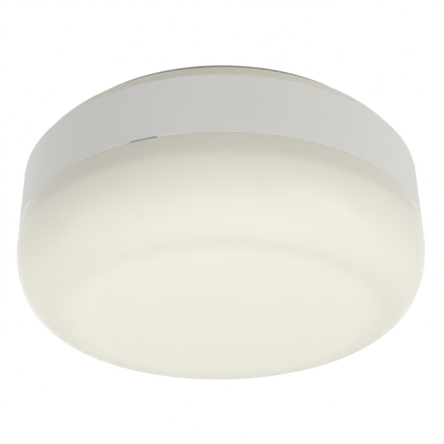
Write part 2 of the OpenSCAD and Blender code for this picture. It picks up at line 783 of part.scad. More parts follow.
module lamp_globe(side) {
    outer = globe_line(neck_r, globe_r, cap_end - 5);
    inner = globe_line(neck_r - glass_t, globe_r - glass_t, cap_end - 5);
    color("ivory") on_lamp(side) rotate_extrude()
        polygon(concat(outer, [for (i = [len(inner) - 1:-1:0]) inner[i]]));
}

module lamp_cap(side) {
    r = cap_d / 2;
    color("silver") on_lamp(side) translate([0, 0, cap_start]) rotate_extrude() polygon([
        [r - cap_turn_in, 0], [r, cap_turn_in], [r, cap_len - 4], [r + 0.4, cap_len - 3], [r + 0.4, cap_len],
        [r - cap_t, cap_len], [r - cap_t, cap_turn_in + 0.2], [r - cap_turn_in - 0.2, cap_t],
        [r - 2 * cap_turn_in, cap_t], [r - 2 * cap_turn_in, 0]
    ]);
}

module lamp_insulator(side) {
    color("black") on_lamp(side) translate([0, 0, tip_h])
        cylinder(h = insulator_h, r1 = tip_r + 1.5, r2 = cap_d / 2 - cap_turn_in);
}

module lamp_tip(side) {
    color("silver") on_lamp(side) cylinder(h = tip_h, r1 = tip_r - 0.8, r2 = tip_r);
}

module terminal_block() {
    base_z = tray_face + block_h;
    color("whitesmoke") difference() {
        union() {
            translate([-block_len / 2, block_y - block_w / 2, -base_z]) cube([block_len, block_w, block_h]);
            for (x = pole_xs, y = [-clamp_gap / 2, clamp_gap / 2])
                translate([x, block_y + y, -base_z - tower_h])
                    cylinder(h = tower_h + sink, r = tower_r, $fn = 48);
        }
        for (x = pole_xs) {
            translate([x - channel_w / 2, block_y - block_w / 2 - cut, -pole_z - channel_w / 2])
                cube([channel_w, block_w + 2 * cut, channel_w]);
            for (y = [-clamp_gap / 2, clamp_gap / 2])
                translate([x, block_y + y, -base_z - tower_h - cut])
                    cylinder(h = tower_h + cut + base_z - pole_z, r = clamp_head[1] + 0.2, $fn = 32);
        }
        for (x = [-pole_pitch / 2, pole_pitch / 2])
            translate([x, block_y, -base_z - cut])
                cylinder(h = block_h + 2 * cut, r = small_screw[0] + gap, $fn = 24);
    }
}

module terminal_inserts() {
    color("gold") for (x = pole_xs) translate([x, block_y, -pole_z]) difference() {
        cube([insert_w, insert_len, insert_w], center = true);
        rotate([90, 0, 0]) cylinder(h = insert_len + 2 * cut, r = insert_bore_r, center = true, $fn = 32);
        for (y = [-clamp_gap / 2, clamp_gap / 2])
            translate([0, y, -insert_w / 2 - cut])
                cylinder(h = insert_w / 2 + cut, r = clamp_head[0] + slack, $fn = 24);
    }
}

module terminal_screws() {
    head_z = tray_face + block_h + tower_h - 3;
    color("silver") for (x = pole_xs, y = [-clamp_gap / 2, clamp_gap / 2])
        translate([x, block_y + y, -head_z]) screw(clamp_head, head_z - pole_z - wire_d / 2 - 0.15);
}

module block_screws() {
    size = [small_screw[0], 2.4, 2];
    color("silver") for (x = [-pole_pitch / 2, pole_pitch / 2])
        translate([x, block_y, -tray_face - block_h]) screw(size, block_h + 3);
}

module earth_tongue() {
    color("silver") translate([earth_spot.x, earth_spot.y, -tray_face]) difference() {
        union() {
            translate([0, 0, -tongue_t]) cylinder(h = tongue_t, r = tongue_r, $fn = 48);
            translate([-barrel_r, -tongue_r - 0.5, -tongue_t]) cube([2 * barrel_r, tongue_r, tongue_t]);
            translate([0, -tongue_r, -barrel_r]) rotate([90, 0, 0])
                cylinder(h = barrel_len, r = barrel_r, $fn = 32);
        }
        translate([0, 0, -tongue_t - cut]) cylinder(h = tongue_t + 2 * cut, r = small_screw[0] + 0.2, $fn = 24);
        translate([0, -tongue_r - 0.5, -barrel_r]) rotate([90, 0, 0])
            cylinder(h = barrel_len + cut, r = barrel_bore_r, $fn = 32);
    }
}

module earth_screw() {
    color("silver") translate([earth_spot.x, earth_spot.y, -tray_face - tongue_t])
        screw([small_screw[0], 2.6, 2], tongue_t + tray_t + 4);
}

base_pan();
wall_gasket();
fixing_washers();
cable_grommet();
trim_ring();
ring_screws();
diffuser();
diffuser_seal();
diffuser_clips();
clip_screws();
gear_tray();
tray_screws();
tray_bushes();
bracket("a");  // bracket_a
bracket("b");  // bracket_b
bracket_screws();
holder_body("a");  // holder_body_a
holder_body("b");  // holder_body_b
thread_shell("a");  // thread_shell_a
thread_shell("b");  // thread_shell_b
centre_contact("a");  // centre_contact_a
centre_contact("b");  // centre_contact_b
holder_nipples();
holder_nuts();
lamp_globe("a");  // lamp_globe_a
lamp_cap("a");  // lamp_cap_a
lamp_insulator("a");  // lamp_insulator_a
lamp_tip("a");  // lamp_tip_a
lamp_globe("b");  // lamp_globe_b
lamp_cap("b");  // lamp_cap_b
lamp_insulator("b");  // lamp_insulator_b
lamp_tip("b");  // lamp_tip_b
terminal_block();
terminal_inserts();
terminal_screws();
block_screws();
earth_tongue();
earth_screw();
wire(live_a_route, "saddlebrown");  // live_wire_a
wire(neutral_a_route, "steelblue");  // neutral_wire_a
wire(live_b_route, "saddlebrown");  // live_wire_b
wire(neutral_b_route, "steelblue");  // neutral_wire_b
wire(earth_route, "yellowgreen");  // earth_wire
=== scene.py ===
import json
import math
import random

import bpy
from mathutils import Matrix, Vector


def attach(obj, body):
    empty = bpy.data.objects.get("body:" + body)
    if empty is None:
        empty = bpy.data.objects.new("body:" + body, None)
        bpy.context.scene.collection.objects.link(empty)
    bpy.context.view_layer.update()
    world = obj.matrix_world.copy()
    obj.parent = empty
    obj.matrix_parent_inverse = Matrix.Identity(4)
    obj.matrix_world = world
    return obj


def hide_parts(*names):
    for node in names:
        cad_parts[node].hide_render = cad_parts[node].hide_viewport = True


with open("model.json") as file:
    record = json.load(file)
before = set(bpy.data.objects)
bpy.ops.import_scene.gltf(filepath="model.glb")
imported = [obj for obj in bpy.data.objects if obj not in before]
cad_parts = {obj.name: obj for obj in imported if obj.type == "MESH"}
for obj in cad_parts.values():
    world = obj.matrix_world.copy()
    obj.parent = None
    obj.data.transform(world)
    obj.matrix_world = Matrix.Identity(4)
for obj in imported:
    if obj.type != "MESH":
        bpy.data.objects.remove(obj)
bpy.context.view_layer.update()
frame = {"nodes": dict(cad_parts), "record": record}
scene = bpy.context.scene
mm = 0.001
print("frame loaded:", len(frame["nodes"]), "nodes")


# Camera
shot = {
    "focalPixels": 957.3,
    "framePixels": 444,
    "distance": 603.3 * mm,
    "lookUp": math.radians(28.56),
    "pan": math.radians(0.09),
    "tilt": math.radians(1.42),
    "roll": math.radians(-0.64),
    "middleZ": -55 * mm,
    "sensor": 36.0,
    "nearClip": 0.01,
}


def placeCamera(s):
    up = s["lookUp"]
    place = Vector((0, -s["distance"] * math.cos(up), s["middleZ"] - s["distance"] * math.sin(up)))
    aim = up + s["tilt"]
    forward = Vector((math.sin(s["pan"]) * math.cos(aim), math.cos(s["pan"]) * math.cos(aim), math.sin(aim)))
    right = forward.cross(Vector((0, 0, 1))).normalized()
    above = right.cross(forward)
    c, n = math.cos(s["roll"]), math.sin(s["roll"])
    turnedRight = c * right + n * above
    turnedAbove = c * above - n * right
    data = bpy.data.cameras.new("camera")
    data.sensor_width = s["sensor"]
    data.sensor_fit = "HORIZONTAL"
    data.lens = s["focalPixels"] / s["framePixels"] * s["sensor"]
    data.clip_start = s["nearClip"]
    camera = bpy.data.objects.new("camera", data)
    scene.collection.objects.link(camera)
    turn = Matrix((turnedRight, turnedAbove, -forward)).transposed()
    camera.matrix_world = Matrix.Translation(place) @ turn.to_4x4()
    scene.camera = camera


placeCamera(shot)
print("camera placed")


# Shared shader helpers
def linear(colour):
    return tuple(c / 12.92 if c <= 0.04045 else ((c + 0.055) / 1.055) ** 2.4 for c in colour) + (1.0,)


def addNode(tree, kind, **sockets):
    node = tree.nodes.new(kind)
    for name, value in sockets.items():
        node.inputs[name.replace("_", " ")].default_value = value
    return node


def newGroup(name, inputs, outputs):
    group = bpy.data.node_groups.new(name, "ShaderNodeTree")
    for label, kind, value in inputs:
        socket = group.interface.new_socket(label, in_out="INPUT", socket_type=kind)
        socket.default_value = value
    for label, kind in outputs:
        group.interface.new_socket(label, in_out="OUTPUT", socket_type=kind)
    return group, group.nodes.new("NodeGroupInput"), group.nodes.new("NodeGroupOutput")


# Slow change of tone and of gloss over a surface
def makeMottle():
    group, entry, leave = newGroup(
        "mottle",
        [("Colour", "NodeSocketColor", (0.8, 0.8, 0.8, 1)), ("Amount", "NodeSocketFloat", 0.04),
         ("Scale", "NodeSocketFloat", 30.0), ("Roughness", "NodeSocketFloat", 0.4),
         ("Spread", "NodeSocketFloat", 0.08)],
        [("Colour", "NodeSocketColor"), ("Roughness", "NodeSocketFloat")])
    link = group.links.new
    place = group.nodes.new("ShaderNodeTexCoord")
    cloud = addNode(group, "ShaderNodeTexNoise", Detail=4.0, Roughness=0.6)
    link(place.outputs["Object"], cloud.inputs["Vector"])
    link(entry.outputs["Scale"], cloud.inputs["Scale"])
    swing = group.nodes.new("ShaderNodeMapRange")
    swing.inputs["To Min"].default_value = -1.0
    swing.inputs["From Min"].default_value = 0.25
    swing.inputs["From Max"].default_value = 0.75
    link(cloud.outputs["Fac"], swing.inputs["Value"])
    tone = group.nodes.new("ShaderNodeMath")
    tone.operation = "MULTIPLY"
    link(swing.outputs["Result"], tone.inputs[0])
    link(entry.outputs["Amount"], tone.inputs[1])
    bright = group.nodes.new("ShaderNodeMath")
    bright.operation = "ADD"
    bright.inputs[1].default_value = 1.0
    link(tone.outputs[0], bright.inputs[0])
    shade = group.nodes.new("ShaderNodeVectorMath")
    shade.operation = "SCALE"
    link(entry.outputs["Colour"], shade.inputs[0])
    link(bright.outputs[0], shade.inputs["Scale"])
    link(shade.outputs["Vector"], leave.inputs["Colour"])
    gloss = group.nodes.new("ShaderNodeMath")
    gloss.operation = "MULTIPLY_ADD"
    link(swing.outputs["Result"], gloss.inputs[0])
    link(entry.outputs["Spread"], gloss.inputs[1])
    link(entry.outputs["Roughness"], gloss.inputs[2])
    link(gloss.outputs[0], leave.inputs["Roughness"])
    return group


# Fine relief: noise for moulded, coated and plated surfaces
def makeGrain():
    group, entry, leave = newGroup(
        "grain",
        [("Scale", "NodeSocketFloat", 900.0), ("Depth", "NodeSocketFloat", 0.1),
         ("Stretch", "NodeSocketVector", (1, 1, 1)), ("Distance", "NodeSocketFloat", 0.0002)],
        [("Normal", "NodeSocketVector")])
    link = group.links.new
    place = group.nodes.new("ShaderNodeTexCoord")
    pull = group.nodes.new("ShaderNodeVectorMath")
    pull.operation = "MULTIPLY"
    link(place.outputs["Object"], pull.inputs[0])
    link(entry.outputs["Stretch"], pull.inputs[1])
    speck = addNode(group, "ShaderNodeTexNoise", Detail=3.0, Roughness=0.55)
    link(pull.outputs["Vector"], speck.inputs["Vector"])
    link(entry.outputs["Scale"], speck.inputs["Scale"])
    bump = group.nodes.new("ShaderNodeBump")
    link(entry.outputs["Depth"], bump.inputs["Strength"])
    link(entry.outputs["Distance"], bump.inputs["Distance"])
    link(speck.outputs["Fac"], bump.inputs["Height"])
    link(bump.outputs["Normal"], leave.inputs["Normal"])
    return group


mottle = makeMottle()
grain = makeGrain()

# Colour, gloss and relief of each finish, by material slot; the edges of the opal's bands of painted shade
# and painted light are in millimetres
finishes = {
    "pan": {"colour": (0.92, 0.905, 0.845), "rough": 0.5, "shine": 0.15, "grain": 1400, "depth": 0.12,
            "soft": 0.05},
    "gasket": {"colour": (0.66, 0.63, 0.59), "rough": 0.9, "shine": 0.1, "grain": 900, "depth": 0.8,
               "mottle": 0.16},
    "washer": {"colour": (0.30, 0.30, 0.30), "rough": 0.75, "grain": 1600, "depth": 0.3, "mottle": 0.08},
    "grommet": {"colour": (0.13, 0.13, 0.13), "rough": 0.62, "grain": 1500, "depth": 0.25, "mottle": 0.12},
    "ring": {"colour": (0.855, 0.85, 0.832), "rough": 0.38, "grain": 620, "depth": 0.16, "mottle": 0.012},
    "screw": {"colour": (0.66, 0.67, 0.69), "rough": 0.30, "metal": 1.0, "grain": 2200, "depth": 0.15,
              "mottle": 0.10},
    # The opal's colour is its skirt's, painted darker as shade under the ring; its side and face are painted
    # lighter, as light from within
    "opal": {"colour": (0.85, 0.84, 0.79), "rough": 0.18, "grain": 260, "depth": 0.03, "soft": 0.12,
             "mottle": 0.005, "paintedLightBands": {"outside": 125.0, "side": (0.89, 0.88, 0.825), "sideEdge": (65, 72),
                                        "face": (0.95, 0.94, 0.88), "faceEdge": (120, 150)}},
    "seal": {"colour": (0.80, 0.80, 0.78), "rough": 0.55, "grain": 1800, "depth": 0.12, "soft": 0.1},
    "spring_steel": {"colour": (0.70, 0.70, 0.71), "rough": 0.26, "metal": 1.0, "grain": 1500, "depth": 0.10,
                     "stretch": (1, 1, 0.08)},
    "tray": {"colour": (0.88, 0.88, 0.86), "rough": 0.25, "grain": 500, "depth": 0.08, "coat": 0.25},
    "bracket": {"colour": (0.74, 0.75, 0.76), "rough": 0.36, "metal": 1.0, "grain": 2000, "depth": 0.12,
                "mottle": 0.06, "spangle": 0.22},
    "holder": {"colour": (0.90, 0.89, 0.86), "rough": 0.16, "grain": 320, "depth": 0.05, "coat": 0.4},
    "brass": {"colour": (0.80, 0.64, 0.34), "rough": 0.28, "metal": 1.0, "grain": 1800, "depth": 0.10,
              "mottle": 0.12},
    "zinc": {"colour": (0.71, 0.72, 0.74), "rough": 0.34, "metal": 1.0, "grain": 2200, "depth": 0.14,
             "mottle": 0.12},
    "globe": {"colour": (0.94, 0.93, 0.90), "rough": 0.12, "grain": 120, "depth": 0.02, "coat": 0.5,
              "soft": 0.1},
    "cap": {"colour": (0.80, 0.80, 0.79), "rough": 0.22, "metal": 1.0, "grain": 2400, "depth": 0.08,
            "mottle": 0.08},
    "insulator": {"colour": (0.05, 0.05, 0.06), "rough": 0.12, "grain": 400, "depth": 0.05, "coat": 0.3},
    "solder": {"colour": (0.74, 0.74, 0.75), "rough": 0.36, "metal": 1.0, "grain": 900, "depth": 0.5,
               "mottle": 0.10},
    "block": {"colour": (0.88, 0.87, 0.83), "rough": 0.45, "grain": 1500, "depth": 0.18, "soft": 0.08},
    "live": {"colour": (0.33, 0.17, 0.09), "rough": 0.38, "grain": 900, "depth": 0.08},
    "neutral": {"colour": (0.12, 0.30, 0.62), "rough": 0.38, "grain": 900, "depth": 0.08},
    "earth": {"colour": (0.13, 0.45, 0.17), "rough": 0.38, "grain": 900, "depth": 0.08,
              "second": (0.90, 0.78, 0.12)},
    "copper": {"colour": (0.85, 0.52, 0.36), "rough": 0.3, "metal": 1.0, "grain": 2600, "depth": 0.3,
               "stretch": (1, 0.1, 1)},
}
# What all finishes share, and what a finish has where its own entry is silent
shared = {
    "softReach": (1.0, 0.9, 0.75), "softScale": 0.004, "shine": 0.5, "coatRough": 0.08, "mottle": 0.02,
    "cloudScale": 35.0, "glossSpread": 0.14, "spangleScale": 360.0, "spangleLift": 0.4, "stripeFrom": 0.25,
}


# The way along the opal's outside: down its side, and then in over its face
def wayAlong(tree, outside):
    link = tree.links.new
    place = tree.nodes.new("ShaderNodeTexCoord")
    split = tree.nodes.new("ShaderNodeSeparateXYZ")
    link(place.outputs["Object"], split.inputs[0])
    flat = tree.nodes.new("ShaderNodeVectorMath")
    flat.operation = "MULTIPLY"
    flat.inputs[1].default_value = (1, 1, 0)
    link(place.outputs["Object"], flat.inputs[0])
    reach = tree.nodes.new("ShaderNodeVectorMath")
    reach.operation = "LENGTH"
    link(flat.outputs["Vector"], reach.inputs[0])
    inward = tree.nodes.new("ShaderNodeMath")
    inward.operation = "SUBTRACT"
    inward.inputs[0].default_value = outside * mm
    link(reach.outputs["Value"], inward.inputs[1])
    way = tree.nodes.new("ShaderNodeMath")
    way.operation = "SUBTRACT"
    link(inward.outputs[0], way.inputs[0])
    link(split.outputs["Z"], way.inputs[1])
    return way.outputs[0]


# Painted shade and light on the opal: its skirt behind the ring is painted darkest as shade, its side
# lighter, and its face lightest as painted light from within
def addPaintedLightBands(tree, first, paintedLightBands):
    way = wayAlong(tree, paintedLightBands["outside"])
    colour = None
    for name in ("side", "face"):
        share = tree.nodes.new("ShaderNodeMapRange")
        share.interpolation_type = "SMOOTHSTEP"
        start, end = paintedLightBands[name + "Edge"]
        share.inputs["From Min"].default_value = start * mm
        share.inputs["From Max"].default_value = end * mm
        tree.links.new(way, share.inputs["Value"])
        blend = tree.nodes.new("ShaderNodeMix")
        blend.data_type = "RGBA"
        blend.inputs["B"].default_value = linear(paintedLightBands[name])
        tree.links.new(share.outputs["Result"], blend.inputs["Factor"])
        if colour is None:
            blend.inputs["A"].default_value = linear(first)
        else:
            tree.links.new(colour, blend.inputs["A"])
        colour = blend.outputs["Result"]
    return colour


# Crystals of hot-dip zinc: patches of slightly different brightness
def addSpangle(tree, colour, amount):
    link = tree.links.new
    place = tree.nodes.new("ShaderNodeTexCoord")
    cells = addNode(tree, "ShaderNodeTexVoronoi", Scale=shared["spangleScale"], Randomness=1.0)
    link(place.outputs["Object"], cells.inputs["Vector"])
    split = tree.nodes.new("ShaderNodeSeparateColor")
    link(cells.outputs["Color"], split.inputs[0])
    swing = tree.nodes.new("ShaderNodeMapRange")
    swing.inputs["To Min"].default_value = 1.0 - amount
    swing.inputs["To Max"].default_value = 1.0 + amount * shared["spangleLift"]
    link(split.outputs["Red"], swing.inputs["Value"])
    shade = tree.nodes.new("ShaderNodeVectorMath")
    shade.operation = "SCALE"
    link(colour, shade.inputs[0])
    link(swing.outputs["Result"], shade.inputs["Scale"])
    return shade.outputs["Vector"]


# Lengthwise stripe of a second colour, where the piece's own stripe value is high
def addStripe(tree, colour, second):
    wave = tree.nodes.new("ShaderNodeAttribute")
    wave.attribute_name = "stripe"
    inside = tree.nodes.new("ShaderNodeMath")
    inside.operation = "GREATER_THAN"
    inside.inputs[1].default_value = shared["stripeFrom"]
    tree.links.new(wave.outputs["Fac"], inside.inputs[0])
    blend = tree.nodes.new("ShaderNodeMix")
    blend.data_type = "RGBA"
    blend.inputs["B"].default_value = linear(second)
    tree.links.new(inside.outputs[0], blend.inputs["Factor"])
    tree.links.new(colour, blend.inputs["A"])
    return blend.outputs["Result"]


def makeFinish(name, look):
    material = bpy.data.materials.new(name)
    material.use_nodes = True
    tree = material.node_tree
    shader = tree.nodes["Principled BSDF"]
    shader.inputs["Metallic"].default_value = look.get("metal", 0.0)
    shader.inputs["Coat Weight"].default_value = look.get("coat", 0.0)
    shader.inputs["Coat Roughness"].default_value = shared["coatRough"]
    shader.inputs["Specular IOR Level"].default_value = look.get("shine", shared["shine"])
    if "soft" in look:
        shader.inputs["Subsurface Weight"].default_value = look["soft"]
        shader.inputs["Subsurface Radius"].default_value = shared["softReach"]
        shader.inputs["Subsurface Scale"].default_value = shared["softScale"]
    tone = tree.nodes.new("ShaderNodeGroup")
    tone.node_tree = mottle
    tone.inputs["Colour"].default_value = linear(look["colour"])
    tone.inputs["Amount"].default_value = look.get("mottle", shared["mottle"])
    tone.inputs["Scale"].default_value = shared["cloudScale"]
    tone.inputs["Roughness"].default_value = look["rough"]
    tone.inputs["Spread"].default_value = look["rough"] * shared["glossSpread"]
    # Painted shade and light: the opal's colour changes down its side and over its face
    if "paintedLightBands" in look:
        tree.links.new(addPaintedLightBands(tree, look["colour"], look["paintedLightBands"]), tone.inputs["Colour"])
    paint = tone.outputs["Colour"]
    if "spangle" in look:
        paint = addSpangle(tree, paint, look["spangle"])
    if "second" in look:
        paint = addStripe(tree, paint, look["second"])
    tree.links.new(paint, shader.inputs["Base Color"])
    tree.links.new(tone.outputs["Roughness"], shader.inputs["Roughness"])
    relief = tree.nodes.new("ShaderNodeGroup")
    relief.node_tree = grain
    relief.inputs["Scale"].default_value = look["grain"]
    relief.inputs["Depth"].default_value = look["depth"]
    relief.inputs["Stretch"].default_value = look.get("stretch", (1, 1, 1))
    tree.links.new(relief.outputs["Normal"], shader.inputs["Normal"])
    return material


finish = {name: makeFinish(name, look) for name, look in finishes.items()}
print("finishes made:", len(finish))


# Finishes of the CAD nodes
slotOf = {part["node"]: part["material_slot"] for part in frame["record"]["subparts"]}
for name, node in frame["nodes"].items():
    node.data.materials.clear()
    node.data.materials.append(finish[slotOf[name]])


# Modelling helpers
weld = 1e-6


def clearSelection():
    if bpy.context.mode != "OBJECT":
        bpy.ops.object.mode_set(mode="OBJECT")
    bpy.ops.object.select_all(action="DESELECT")


def pickOnly(*pieces):
    clearSelection()
    for piece in pieces:
        piece.select_set(True)
    bpy.context.view_layer.objects.active = pieces[0]


# A round piece: the profile is drawn point by point and spun about Z
def spinPiece(name, profile, steps, closed=False, sharp=35):
    clearSelection()
    bpy.ops.mesh.primitive_plane_add(size=mm)
    piece = bpy.context.object
    piece.name = piece.data.name = name
    bpy.ops.object.mode_set(mode="EDIT")
    bpy.ops.mesh.select_mode(type="VERT")
    bpy.ops.mesh.select_all(action="SELECT")
    bpy.ops.mesh.merge(type="CENTER")
    line = [Vector((r * mm, 0, z * mm)) for r, z in profile]
    if closed:
        line.append(line[0])
    bpy.ops.transform.translate(value=line[0])
    for a, b in zip(line, line[1:]):
        bpy.ops.mesh.extrude_vertices_move(TRANSFORM_OT_translate={"value": b - a})
    bpy.ops.mesh.select_all(action="SELECT")
    bpy.ops.mesh.spin(steps=steps, angle=2 * math.pi, center=(0, 0, 0), axis=(0, 0, 1))
    bpy.ops.mesh.select_all(action="SELECT")
    bpy.ops.mesh.remove_doubles(threshold=weld)
    bpy.ops.mesh.normals_make_consistent(inside=False)
    bpy.ops.object.mode_set(mode="OBJECT")
    bpy.ops.object.shade_smooth_by_angle(angle=math.radians(sharp))
    return piece


# Moves a finished mesh to its place and leaves the object at the origin
def setDown(piece, matrix):
    pickOnly(piece)
    piece.matrix_world = matrix
    bpy.context.view_layer.update()
    bpy.ops.object.transform_apply(location=True, rotation=True, scale=True)
    return piece


def dress(piece, material, body, slotName, *nodes):
    if not piece.data.materials:
        piece.data.materials.append(material)
    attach(piece, body)
    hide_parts(*nodes)


# Points of an arc in a profile, without its first point
def arc(centre, radius, start, end, count=6):
    turn = [math.radians(start + (end - start) * i / count) for i in range(1, count + 1)]
    return [(centre[0] + radius * math.cos(t), centre[1] + radius * math.sin(t)) for t in turn]


# Presses a thread into the round walls between two radii
def rollThread(piece, pitch, depth, low, high, start, end, fade, necked):
    def ease(x):
        x = min(1.0, max(0.0, x))
        return x * x * (3 - 2 * x)

    for vertex in piece.data.vertices:
        x, y, z = (c / mm for c in vertex.co)
        radius = math.hypot(x, y)
        if not low < radius < high:
            continue
        wave = 0.5 - 0.5 * math.cos(2 * math.pi * z / pitch - math.atan2(y, x))
        wave *= 1 - ease((z - end + fade) / fade)
        first = ease((z - start) / fade)
        wave = wave * first + (1 - first) * (1.0 if necked else 0.0)
        scale = (radius - depth * wave) / radius
        vertex.co.x *= scale
        vertex.co.y *= scale
    piece.data.update()


# Diffuser
bowl = {
    "outer": 125.0, "wall": 3.0, "rimTop": 56.1, "skirt": 10.8, "edgeWide": 28.4, "edgeDeep": 39.2,
    "crown": 3.4, "spigotOut": 121.8, "spigotIn": 119.2, "spigotHigh": 9.2, "grooveDrop": 4.8,
    "grooveDeep": 1.0, "grooveRound": 1.6, "grooveRest": 0.4, "lip": 0.5, "footRound": 0.3, "rimEdge": 0.12,
    "shelf": 2, "edgeSteps": 72, "crownSteps": 28, "turnSteps": 240, "sharp": 50,
}


def bowlLine(outer, flat, top, deep, crown, edgeSteps, crownSteps):
    wide = outer - flat
    lean = 2 * math.atan(crown / flat)
    last = math.atan(deep / (wide * math.tan(lean)))
    endR, endZ = flat + wide * math.cos(last), -top - deep * math.sin(last)
    dome = endR / math.sin(lean)
    turns = [last * i / edgeSteps for i in range(edgeSteps + 1)]
    line = [(flat + wide * math.cos(t), -top - deep * math.sin(t)) for t in turns]
    turns = [lean * (1 - i / crownSteps) for i in range(1, crownSteps + 1)]
    return line + [(dome * math.sin(t), endZ + dome * (math.cos(lean) - math.cos(t))) for t in turns]


def makeDiffuser(b):
    flat, rim, skirtEnd = b["outer"] - b["edgeWide"], -b["rimTop"], b["rimTop"] + b["skirt"]
    spigotTop, grooveZ = rim + b["spigotHigh"], rim + b["grooveDrop"]
    steps = b["edgeSteps"], b["crownSteps"]
    outer = bowlLine(b["outer"], flat, skirtEnd, b["edgeDeep"], b["crown"], *steps)
    inner = bowlLine(b["outer"] - b["wall"], flat, skirtEnd, b["edgeDeep"] - b["wall"], b["crown"], *steps)
    inR, outR, lip, edge, foot = b["spigotIn"], b["spigotOut"], b["lip"], b["rimEdge"], b["footRound"]
    centreR = inR + b["grooveDeep"] - b["grooveRound"]
    half = math.degrees(math.acos((inR - centreR) / b["grooveRound"]))
    groove = arc((centreR, grooveZ), b["grooveRound"], -half, half, 8)
    profile = outer[::-1] + [(b["outer"], rim - edge)]
    profile += arc((b["outer"] - edge, rim - edge), edge, 0, 90, 4)
    profile += arc((outR + foot, rim + foot), foot, 270, 180, 4)
    profile += [(outR, spigotTop - lip)] + arc((outR - lip, spigotTop - lip), lip, 0, 90, 5)
    profile += [(inR + lip, spigotTop)] + arc((inR + lip, spigotTop - lip), lip, 90, 180, 5)
    profile += groove[::-1] + [(inR, grooveZ - b["grooveRound"] - b["grooveRest"]), (inR, rim - b["shelf"])]
    profile += [(b["outer"] - b["wall"], rim - b["wall"] - b["shelf"])] + inner
    piece = spinPiece("diffuserBowl", profile, b["turnSteps"], sharp=b["sharp"])
    dress(piece, finish["opal"], "diffuser_body", "opal", "diffuser")


makeDiffuser(bowl)
print("diffuser made")


# Lamps and lampholders
# A roll: where the thread starts above the wall's foot, where it ends below its top, and how far it fades
lamp = {
    "back": 20.0, "side": 34.0, "height": 58.0, "long": 105.0, "globe": 60.0, "glass": 1.0, "glassGap": 0.1,
    "glassStart": 5, "neckFoot": 1, "neckPull": 0.42, "neckSteps": 14, "ballSteps": 36, "joinAngle": 125.0,
    "capD": 26.1, "capWall": 0.5, "capStart": 5.5, "capLong": 21.5, "capFlange": 4,
    "capRoll": (1.6, 5.4, 1.6), "tipR": 4.8, "tipHigh": 1.0, "tipFoot": 0.02, "tipFull": 0.9, "tipSteps": 10,
    "threadPitch": 3.63, "threadDeep": 0.9, "rowGap": 0.36, "shellGap": 0.3, "shellWall": 0.5,
    "shellStart": 3.0, "shellLong": 19.0, "shellFoot": 0.8, "shellFlange": 1, "shellRows": (0.9, 0.8),
    "shellRoll": (2.4, 2.2, 1.4), "near": 0.05, "chamber": 11.05, "turnSteps": 96,
}
holder = {
    "back": 20.0, "reach": 26.0, "mouth": 19.5, "waist": 15.5, "waistAt": -6.5, "tail": 13.0, "floor": -3.0,
    "nippleIn": 6.0, "nippleR": 5.05, "boreGap": 0.4, "ease": 0.4, "tailRound": 1.5, "rimRound": 1,
    "boreRound": 0.5, "shoulderIn": 3.5, "shoulderAt": -2, "shoulderRound": 3,
}
lampTurn = {"a": 0.0, "b": math.pi}


# The lamp's own axis is Z in its profile, and lies along X in the light
def onLamp(side):
    lay = Matrix.Rotation(math.pi / 2, 4, "Y")
    place = Matrix.Translation(Vector((-lamp["back"], lamp["side"], -lamp["height"])) * mm)
    return Matrix.Rotation(lampTurn[side], 4, "Z") @ place @ lay


def globeLine(neck, ball, start, capEnd, middle):
    angle = math.radians(lamp["joinAngle"])
    join = Vector((ball * math.sin(angle), middle + ball * math.cos(angle)))
    foot = Vector((neck, capEnd + lamp["neckFoot"]))
    reach = (join.y - foot.y) * lamp["neckPull"]
    lead = join + reach * Vector((math.cos(angle), -math.sin(angle)))
    lift = foot + Vector((0, reach))
    line = [(neck, start), tuple(foot)]
    for i in range(1, lamp["neckSteps"] + 1):
        t, r = i / lamp["neckSteps"], 1 - i / lamp["neckSteps"]
        line.append(tuple(r ** 3 * foot + 3 * r * r * t * lift + 3 * r * t * t * lead + t ** 3 * join))
    turns = [angle * (1 - i / lamp["ballSteps"]) for i in range(1, lamp["ballSteps"] + 1)]
    return line + [(ball * math.sin(t), middle + ball * math.cos(t)) for t in turns]


# Heights from one end of a rolled wall to the other, close enough together for the thread
def threadRows(start, end):
    count = max(2, round(abs(end - start) / lamp["rowGap"]))
    return [start + (end - start) * i / count for i in range(count + 1)]


